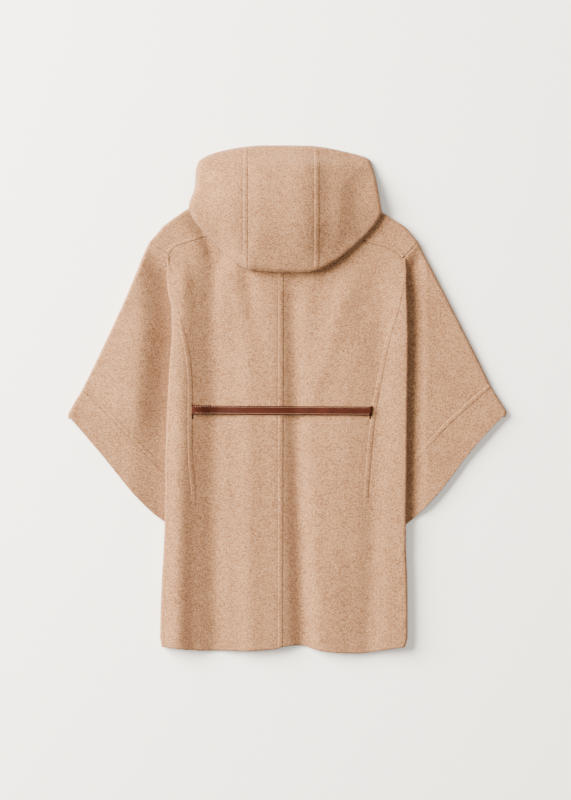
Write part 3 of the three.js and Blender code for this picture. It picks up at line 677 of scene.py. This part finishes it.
def hoodHeight(x, y):
    # seat, rounded rim, then a tent whose crest runs from the top down, eased at the crest
    inset = np.maximum(hoodInset(x, y) - cloth / 2, 0)
    roll = mix(hood["roll"], hood["rollRight"], softStep(-70, 70, x))
    roundUp = np.sqrt(1 - (1 - np.minimum(inset / roll, 1)) ** 2)
    rim = hood["rimRise"] * mix(1, hood["lowRim"], softStep(450, 300, y))
    rim = rim * mix(1, hood["rightRim"], softStep(20, 150, x))
    slant = np.hypot(np.maximum(np.abs(x - hood["crest"]) - hood["plateau"], 0), hood["ease"]) - hood["ease"]
    tent = np.clip(1 - slant / mix(*hood["slope"], softStep(-60, 60, x)), 0, 1)
    tall = softStep(0, 50, hood["top"] - y) * mix(1, hood["lowRise"], softStep(430, 275, y))
    crown = hood["rise"] * tent * tall * softStep(*hood["crownRun"], inset)
    under = underHeight(x, y) + restGap + cloth / 2
    seatRim = mix(cloth / 2 + 0.05, under, softStep(*hood["rimSeat"], y))
    seatWide = mix(6, under, softStep(*hood["wideSeat"], y))
    seat = mix(seatRim, seatWide, softStep(0, 60, inset))
    wave = (foldSum(x, y, hoodFolds) + ripple(x, y)) * softStep(8, 40, inset)
    return seat + rim * roundUp + crown + wave


def buildHood():
    # three panels side by side, each a blend of its four edges raised to the hood's height; the
    # arrows of the wall are square to that surface
    seams = {"left": (hoodTopEdge["left"][-1], hoodLowEdge["left"][-1]),
             "right": (hoodTopEdge["right"][0], hoodLowEdge["right"][0])}
    shade = np.array([0.0006, 0.004, 0.009, 0.016, 0.025, 0.037, 0.052])
    rows = np.concatenate([shade, np.linspace(0.07, 0.93, 74), 1 - shade[::-1]])
    lapMarks = np.array([0, 0.5, 1.2, 2.5, 4.5, 7, 8.6, 9.3, 9.8, 10.3, 10.9, 12, 14])

    def piece(name, top, low, left, right, cols, lapFrom):
        s, t = np.meshgrid(cols, rows)
        plan = panel(top, low, left, right, s, t)
        rise = 0.0
        x, y = plan[..., 0], plan[..., 1]
        if lapFrom is not None:
            rise = lapProfile(np.abs(x - lapFrom(t)[..., 0]))
        e = 0.4
        dx = (hoodHeight(x + e, y) - hoodHeight(x - e, y)) / (2 * e)
        dy = (hoodHeight(x, y + e) - hoodHeight(x, y - e)) / (2 * e)
        out = np.stack([-dx, -dy, np.ones_like(dx)], -1)
        out /= np.linalg.norm(out, axis=2, keepdims=True)
        z = hoodHeight(x, y) + rise * softStep(2, 12, hoodInset(x, y))
        node = name.replace("hoodCloth.", "hood_")
        sheetPiece(name, np.concatenate([plan, z[..., None]], -1), out, node, ["hood_under"])

    gap = np.array([seamGap / 2, 0])
    seamL = lineThrough([seams["left"][0], seams["left"][1]])
    seamR = lineThrough([seams["right"][0], seams["right"][1]])
    near = lapMarks / 118
    cols = np.concatenate([shade * 1.4, np.linspace(0.1, 1 - near[-1], 34)[:-1], 1 - near[::-1]])
    piece("hoodCloth.left", lineThrough(hoodTopEdge["left"]), lineThrough(hoodLowEdge["left"]),
          lineThrough(hoodSideEdge["left"]), lambda v: seamL(v) - gap, cols, seamL)
    near = lapMarks / 148
    cols = np.concatenate([np.linspace(0, 1 - near[-1], 42)[:-1], 1 - near[::-1]])
    piece("hoodCloth.center", lineThrough(hoodTopEdge["center"]), lineThrough(hoodLowEdge["center"]),
          lambda v: seamL(v) + gap, lambda v: seamR(v) - gap, cols, seamR)
    cols = np.concatenate([[0, 0.006, 0.015], np.linspace(0.03, 0.9, 40), (1 - shade[::-1] * 1.4)])
    piece("hoodCloth.right", lineThrough(hoodTopEdge["right"]), lineThrough(hoodLowEdge["right"]),
          lambda v: seamR(v) + gap, lineThrough(hoodSideEdge["right"]), cols, None)


def buildHoodUnder():
    # straight lines from the neck seam to the fold along the hood's lower edge
    rim = lineThrough([(-199, 386)] + hoodLowEdge["left"][1:] + hoodLowEdge["center"][1:-1]
                      + hoodLowEdge["right"][:-1] + [(192, 379)])
    neck = lineThrough([(-178, 388), (-100, 379), (-8, 368), (85, 380), (170, 384)])
    s, t = np.meshgrid(np.linspace(0, 1, 90), np.linspace(0, 1, 24))
    plan = mix(neck(s), rim(s), t[..., None])
    mid, out = faceUp(plan, underHeight)
    sheetPiece("hoodCloth.under", mid, out, "hood_under", ["back_left", "back_right"])


for sideName in ("left", "right"):
    buildBack(sideName)
    buildYoke(sideName)
    buildSleeves(sideName)
    buildFront(sideName)
buildHood()
buildHoodUnder()

# Belt
belt = {
    "width": 18.5,
    "thick": 2.2,
    "tail": 27.0,              # runs on inside each slit
    "bend": 2.6,
    "levels": (-22.3, -24.8),  # its middle at the left slit and at the right one
    "ends": (-195, 175),       # x of the two slits, which the levels belong to
    "spread": 16,              # it bridges hollows as wide as this to both sides
    "stitchIn": 2.6,           # stitch rows, from the strap's edges
    "stitchEnd": 3,            # from where the strap bends down
    "stitchLong": 2.1,
    "stitchStep": 3.7,
    "stitchThick": 0.66,
}


def beltLevel(x):
    share = (x - belt["ends"][0]) / (belt["ends"][1] - belt["ends"][0])
    return mix(belt["levels"][0], belt["levels"][1], share)


def beltPath():
    # out of the left slit, over the back and down into the right one: its height is the greatest of
    # the back near each place, smoothed; a bend is a quarter circle
    under = cloth + restGap + belt["thick"] / 2
    bend, tail = belt["bend"], belt["tail"]
    ends = {side: seamLine[side](shareAt(seamLine[side], -24))[0] for side in ("left", "right")}

    def over(x):
        level = beltLevel(x)
        small = foldSum(x, level, fineFolds) + ripple(x, level)
        return plainBack(x, level) + small + lapRise + 0.1 + restGap + belt["thick"] / 2
    x = np.linspace(ends["left"] + bend, ends["right"] - bend, 150)
    steps = np.linspace(-belt["spread"], belt["spread"], 17)
    z = np.max([over(np.clip(x + step, ends["left"], ends["right"])) for step in steps], 0)
    kernel = np.hanning(19) / np.hanning(19).sum()
    z = np.convolve(np.pad(z, 9, mode="edge"), kernel, "valid") + 0.15
    a = np.linspace(0, math.pi / 2, 9)[1:]

    def turn(side, sign, high):
        far = tail * np.linspace(0.2, 1, 5)
        px = ends[side] + sign * bend * np.concatenate([np.sin(a) - 1, 1 - np.cos(a), 1 + far / bend])
        pz = np.concatenate([high - bend * (1 - np.cos(a)), under + bend * (1 - np.sin(a)), np.full(5, under)])
        tilt = np.concatenate([math.pi / 2 - a, a, np.full(5, math.pi / 2)])
        return px, pz, np.stack([sign * np.cos(tilt), np.sin(tilt)], 1)
    lx, lz, ln = turn("left", -1, z[0])
    rx, rz, rn = turn("right", 1, z[-1])
    flat = np.tile([0.0, 1.0], (len(x), 1))
    px = np.concatenate([lx[::-1], x, rx])
    pz = np.concatenate([lz[::-1], z, rz])
    return px, pz, np.concatenate([ln[::-1], flat, rn]), len(lx), ends


def buildBelt():
    # the path swept with a flat section whose edges are rounded: powers of cosine and sine; the
    # bends and tails are slanted as the slits are
    px, pz, n, turns, ends = beltPath()
    skew = np.zeros(len(px))
    skew[:turns], skew[-turns:] = 1, 1
    w, h = belt["width"] / 2, belt["thick"] / 2
    a = np.linspace(0, 2 * math.pi, 40, endpoint=False)
    cy = np.sign(np.cos(a)) * np.abs(np.cos(a)) ** 0.22 * w
    cz = np.sign(np.sin(a)) * np.abs(np.sin(a)) ** 0.55 * h
    y = beltLevel(px)[:, None] + cy[None]

    def slant(side):
        seam = seamLine[side](np.linspace(0, 1, 800))
        return np.interp(-y, -seam[:, 1], seam[:, 0]) - ends[side]
    atLeft = (np.arange(len(px)) < len(px) / 2)[:, None]
    shift = np.where(atLeft, slant("left"), slant("right")) * skew[:, None]
    x = px[:, None] + n[:, :1] * cz[None] + shift
    z = pz[:, None] + n[:, 1:] * cz[None]
    ring = np.stack([x, y, z], -1)
    rows, cols = ring.shape[:2]
    ids = np.arange(rows * cols).reshape(rows, cols)
    nxt = np.roll(ids, -1, 1)
    quads = np.stack([ids[:-1], nxt[:-1], nxt[1:], ids[1:]], -1).reshape(-1, 4)
    k = np.arange(cols // 2 - 1)
    caps = [np.stack([ids[row, k], ids[row, k + 1], ids[row, cols - 2 - k], ids[row, cols - 1 - k]], 1)
            for row in (0, rows - 1)]
    caps[1] = caps[1][:, ::-1]
    return makeMesh("beltStrap", ring.reshape(-1, 3) * mm, np.concatenate([quads] + caps))


def buildStitches():
    # short thread bars in two rows, each a six-sided bar with sunken ends, along the strap
    px, pz, n, turns, ends = beltPath()
    x0, x1 = px[turns] + belt["stitchEnd"], px[-turns - 1] - belt["stitchEnd"]
    centers = np.arange(x0, x1, belt["stitchStep"])
    zMid = np.interp(centers, px[turns:-turns], pz[turns:-turns]) + belt["thick"] / 2 + 0.02
    tilt = np.gradient(zMid, centers)
    u = np.linspace(-1, 1, 6)
    a = np.linspace(0, 2 * math.pi, 7)[:-1]
    verts, quads, base = [], [], 0
    lift = 0.16 - 0.5 * np.abs(u) ** 3
    radius = belt["stitchThick"] / 2 * np.sqrt(np.clip(1.02 - np.abs(u) ** 4, 0.05, 1))
    for row in (-1, 1):
        yMid = beltLevel(centers) + row * (belt["width"] / 2 - belt["stitchIn"])
        x = centers[:, None, None] + u[None, :, None] * belt["stitchLong"] / 2 + 0 * a
        y = yMid[:, None, None] + radius[None, :, None] * np.cos(a)
        z = (zMid[:, None, None] + tilt[:, None, None] * u[None, :, None] * belt["stitchLong"] / 2
             + lift[None, :, None] + radius[None, :, None] * np.sin(a))
        p = np.stack(np.broadcast_arrays(x, y, z), -1)
        m, r, c = p.shape[:3]
        ids = base + np.arange(m * r * c).reshape(m, r, c)
        nxt = np.roll(ids, -1, 2)
        quads.append(np.stack([ids[:, :-1], nxt[:, :-1], nxt[:, 1:], ids[:, 1:]], -1).reshape(-1, 4))
        for end in (0, r - 1):
            caps = [np.stack([ids[:, end, k] for k in corners], 1) for corners in ((0, 1, 2, 3), (0, 3, 4, 5))]
            quads += [cap[:, ::-1] for cap in caps] if end == 0 else caps
        verts.append(p.reshape(-1, 3))
        base += m * r * c
    return makeMesh("beltStitches", np.concatenate(verts) * mm, np.concatenate(quads))


beltPiece = buildBelt()
stitchPiece = buildStitches()
print("stage: belt made")


# Materials
class Socket:
    # wraps a shader socket, so that sums and products of values add their Math nodes
    def __init__(self, finish, link):
        self.finish = finish
        self.link = link

    def math(self, operation, a, b=0.0):
        return self.finish.add("ShaderNodeMath", {"operation": operation}, {0: a, 1: b})

    def __add__(self, other):
        return self.math("ADD", self, other)

    def __radd__(self, other):
        return self.math("ADD", other, self)

    def __sub__(self, other):
        return self.math("SUBTRACT", self, other)

    def __rsub__(self, other):
        return self.math("SUBTRACT", other, self)

    def __mul__(self, other):
        return self.math("MULTIPLY", self, other)

    def __rmul__(self, other):
        return self.math("MULTIPLY", other, self)

    def size(self):
        return self.math("ABSOLUTE", self)

    def between(self, low, high):
        # 0 at low, 1 at high, held outside
        return self.finish.add("ShaderNodeMapRange", {"interpolation_type": "SMOOTHSTEP"},
                               {0: self, 1: low, 2: high})


class Finish:
    # one material; add makes any node from its type, its settings, and its values or links
    def __init__(self, name):
        self.material = bpy.data.materials.new(name)
        self.material.use_nodes = True
        self.tree = self.material.node_tree
        self.shader = self.tree.nodes["Principled BSDF"]

    def add(self, kind, settings, values, output=0):
        node = self.tree.nodes.new(kind)
        for key, value in settings.items():
            setattr(node, key, value)
        for key, value in values.items():
            if isinstance(value, Socket):
                self.tree.links.new(value.link, node.inputs[key])
            else:
                node.inputs[key].default_value = value
        return Socket(self, node.outputs[output])

    def place(self):
        # object coordinates, in metres
        return self.add("ShaderNodeTexCoord", {}, {}, 3)

    def blend(self, factor, a, b):
        return self.add("ShaderNodeMix", {"data_type": "RGBA"}, {0: factor, 6: a, 7: b}, 2)

    def bump(self, height, strength, distance):
        return self.add("ShaderNodeBump", {}, {"Strength": strength, "Distance": distance, "Height": height})

    def noise(self, place, scale, detail=2.0, rough=0.5, stretch=None, turn=0.0):
        if stretch is not None:
            place = self.add("ShaderNodeMapping", {},
                             {"Vector": place, "Scale": stretch, "Rotation": (0, 0, turn)})
        return self.add("ShaderNodeTexNoise", {"noise_dimensions": "3D"},
                        {"Vector": place, "Scale": scale, "Detail": detail, "Roughness": rough})

    def feed(self, **links):
        for name, value in links.items():
            self.tree.links.new(value.link, self.shader.inputs[name.replace("_", " ")])

    def hold(self, **values):
        for name, value in values.items():
            self.shader.inputs[name.replace("_", " ")].default_value = value


woolLook = {
    "light": (0.280, 0.138, 0.062, 1),
    "mid": (0.170, 0.074, 0.031, 1),
    "dark": (0.072, 0.026, 0.010, 1),   # flecks
    "pale": (0.480, 0.305, 0.175, 1),
    "sheen": (1.0, 0.90, 0.80, 1),
    "fibre": 420.0,                     # noise scale of the finest nap
    "relief": 0.0011,
}


def woolFinish():
    # a sum of fine and slow noises picks between mid and light; the fine ones carry the flecks
    f = Finish("camelWool")
    place = f.place()
    fine = f.noise(place, woolLook["fibre"], 3, 0.65)
    grain = f.noise(place, woolLook["fibre"] * 0.62, 2, 0.6, (1, 1.25, 1), 0.2)
    streak = f.noise(place, 230, 3, 0.6, (0.4, 1.5, 1))
    hair = f.noise(place, 560, 2, 0.6, (0.55, 1.4, 1), 0.35)
    cloud = f.noise(place, 9, 3, 0.55)
    patch = f.noise(place, 42, 3, 0.6)
    tone = (0.5 + 1.1 * (fine - 0.5) + 1.2 * (grain - 0.5) + 0.5 * (streak - 0.5) + 0.6 * (hair - 0.5)
            + 0.25 * (cloud - 0.5) + 0.3 * (patch - 0.5))
    darkFleck = 1 - (0.5 * grain + 0.5 * hair).between(0.33, 0.455)
    paleFleck = (0.5 * fine + 0.5 * hair).between(0.55, 0.68)
    base = f.blend(tone.between(0.30, 0.70), woolLook["mid"], woolLook["light"])
    base = f.blend(0.7 * darkFleck, base, woolLook["dark"])
    base = f.blend(0.65 * paleFleck, base, woolLook["pale"])
    height = 0.5 * fine + 0.35 * hair + 0.5 * grain + 0.35 * streak
    f.feed(Base_Color=base, Roughness=0.86 + 0.12 * fine, Normal=f.bump(height, 0.55, woolLook["relief"]))
    f.hold(Specular_IOR_Level=0.18, Sheen_Weight=0.12, Sheen_Roughness=0.45, Sheen_Tint=woolLook["sheen"])
    return f.material


leatherLook = {
    "face": (0.031, 0.0057, 0.0019, 1),
    "warm": (0.049, 0.0098, 0.0034, 1),
    "deep": (0.008, 0.0016, 0.0007, 1),  # pores, and a darker band along both edges of the strap
    "pebble": 1500,
    "pore": 900.0,
}


def leatherFinish():
    # the distance from the belt's middle line darkens the edges and sinks the two stitch rows
    f = Finish("brownLeather")
    place = f.place()
    x = f.add("ShaderNodeSeparateXYZ", {}, {0: place}, 0)
    y = f.add("ShaderNodeSeparateXYZ", {}, {0: place}, 1)
    slope = (belt["levels"][1] - belt["levels"][0]) / (belt["ends"][1] - belt["ends"][0])
    across = (y - (slope * x + (belt["levels"][0] - belt["ends"][0] * slope) * mm)).size()
    edge = across.between(0.0068, 0.0092)
    pebble = f.noise(place, leatherLook["pebble"], 3, 0.6)
    pores = f.add("ShaderNodeTexVoronoi", {"feature": "DISTANCE_TO_EDGE"},
                  {"Vector": place, "Scale": leatherLook["pore"]})
    cloud = f.noise(place, 60, 3, 0.6, (0.4, 1, 1))
    base = f.blend(cloud.between(0.3, 0.72), leatherLook["face"], leatherLook["warm"])
    base = f.blend(0.35 * (1 - pebble.between(0.40, 0.62)), base, leatherLook["deep"])
    # darker bands over the strap's rounded edges, 6.8 to 9.2 mm from its middle line
    base = f.blend(0.5 * edge, base, leatherLook["deep"])
    groove = 1 - (across - (belt["width"] / 2 - belt["stitchIn"]) * mm).size().between(0.0, 0.0010)
    height = 0.3 * pebble + 0.5 * pores.between(0.0, 0.12) - 1.4 * groove
    f.feed(Base_Color=base, Roughness=0.42 + 0.22 * pebble + 0.1 * cloud - 0.08 * edge,
           Normal=f.bump(height, 0.5, 0.00025))
    f.hold(Specular_IOR_Level=0.05, Coat_Weight=0.01, Coat_Roughness=0.35)
    return f.material


threadLook = {"dark": (0.34, 0.19, 0.115, 1), "light": (0.56, 0.38, 0.26, 1), "twist": 2600}


def threadFinish():
    f = Finish("waxedThread")
    twist = f.noise(f.place(), threadLook["twist"], 2, 0.6, (1, 0.4, 1), 0.6)
    f.feed(Base_Color=f.blend(twist, threadLook["dark"], threadLook["light"]), Roughness=0.55 + 0.2 * twist,
           Normal=f.bump(twist, 0.4, 0.0002))
    return f.material


floorLook = {"a": (0.962, 0.898, 0.790, 1), "b": (0.967, 0.903, 0.796, 1)}


def floorFinish():
    f = Finish("paleFloor")
    f.feed(Base_Color=f.blend(f.noise(f.place(), 40, 2, 0.5), floorLook["a"], floorLook["b"]))
    f.hold(Roughness=0.95, Specular_IOR_Level=0.1)
    return f.material


wool, leather, thread = woolFinish(), leatherFinish(), threadFinish()
for piece, node, width, length, area, restsOn in sheets:
    piece.data.materials.append(wool)
    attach(piece, "root")
    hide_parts(node)
    print("cut:", piece.name, round(width, 3), "x", round(length, 3), "m, area", round(area, 4))
beltPiece.data.materials.append(leather)
stitchPiece.data.materials.append(thread)
for piece in (beltPiece, stitchPiece):
    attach(piece, "root")
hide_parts("belt")
print("stage: finishes set")

# Floor, camera and lights
stage = {"photoMiddle": (-0.004, -0.0017), "photoWide": 571 * 0.0021, "cameraHigh": 6.0, "floorSize": 12.0}
bpy.ops.mesh.primitive_plane_add(size=stage["floorSize"], location=(0, 0, -0.0005))
floor = bpy.context.object
floor.name = "floor"
floor.data.materials.append(floorFinish())

camera = bpy.data.objects.new("camera", bpy.data.cameras.new("camera"))
bpy.context.scene.collection.objects.link(camera)
camera.location = (*stage["photoMiddle"], stage["cameraHigh"])
camera.data.sensor_fit = "HORIZONTAL"
camera.data.sensor_width = 36
camera.data.lens = 36 * stage["cameraHigh"] / stage["photoWide"]
camera.data.clip_end = 50
bpy.context.scene.camera = camera


lights = {
    "softKey": {"place": (-4.3, 2.08, 2.95), "size": 4.4, "power": 2900, "color": (1.0, 0.985, 0.955)},
    "fill": {"place": (0.8, -0.6, 4.0), "size": 3.0, "power": 100, "color": (0.96, 0.97, 1.0)},
    "room": {"power": 0.34, "color": (0.97, 0.975, 1.0, 1)},
}


def areaLight(name):
    # a square light that faces the middle of the cape
    look = lights[name]
    light = bpy.data.objects.new(name, bpy.data.lights.new(name, "AREA"))
    light.data.shape = "SQUARE"
    light.data.size, light.data.energy, light.data.color = look["size"], look["power"], look["color"]
    light.location = look["place"]
    x, y, z = look["place"]
    light.rotation_euler = (math.atan2(math.hypot(x, y), z), 0, math.atan2(x, -y))
    bpy.context.scene.collection.objects.link(light)


areaLight("softKey")
areaLight("fill")
world = bpy.data.worlds.new("room")
bpy.context.scene.world = world
world.use_nodes = True
sky = world.node_tree.nodes["Background"]
sky.inputs[0].default_value = lights["room"]["color"]
sky.inputs[1].default_value = lights["room"]["power"]
print("stage: lights set")
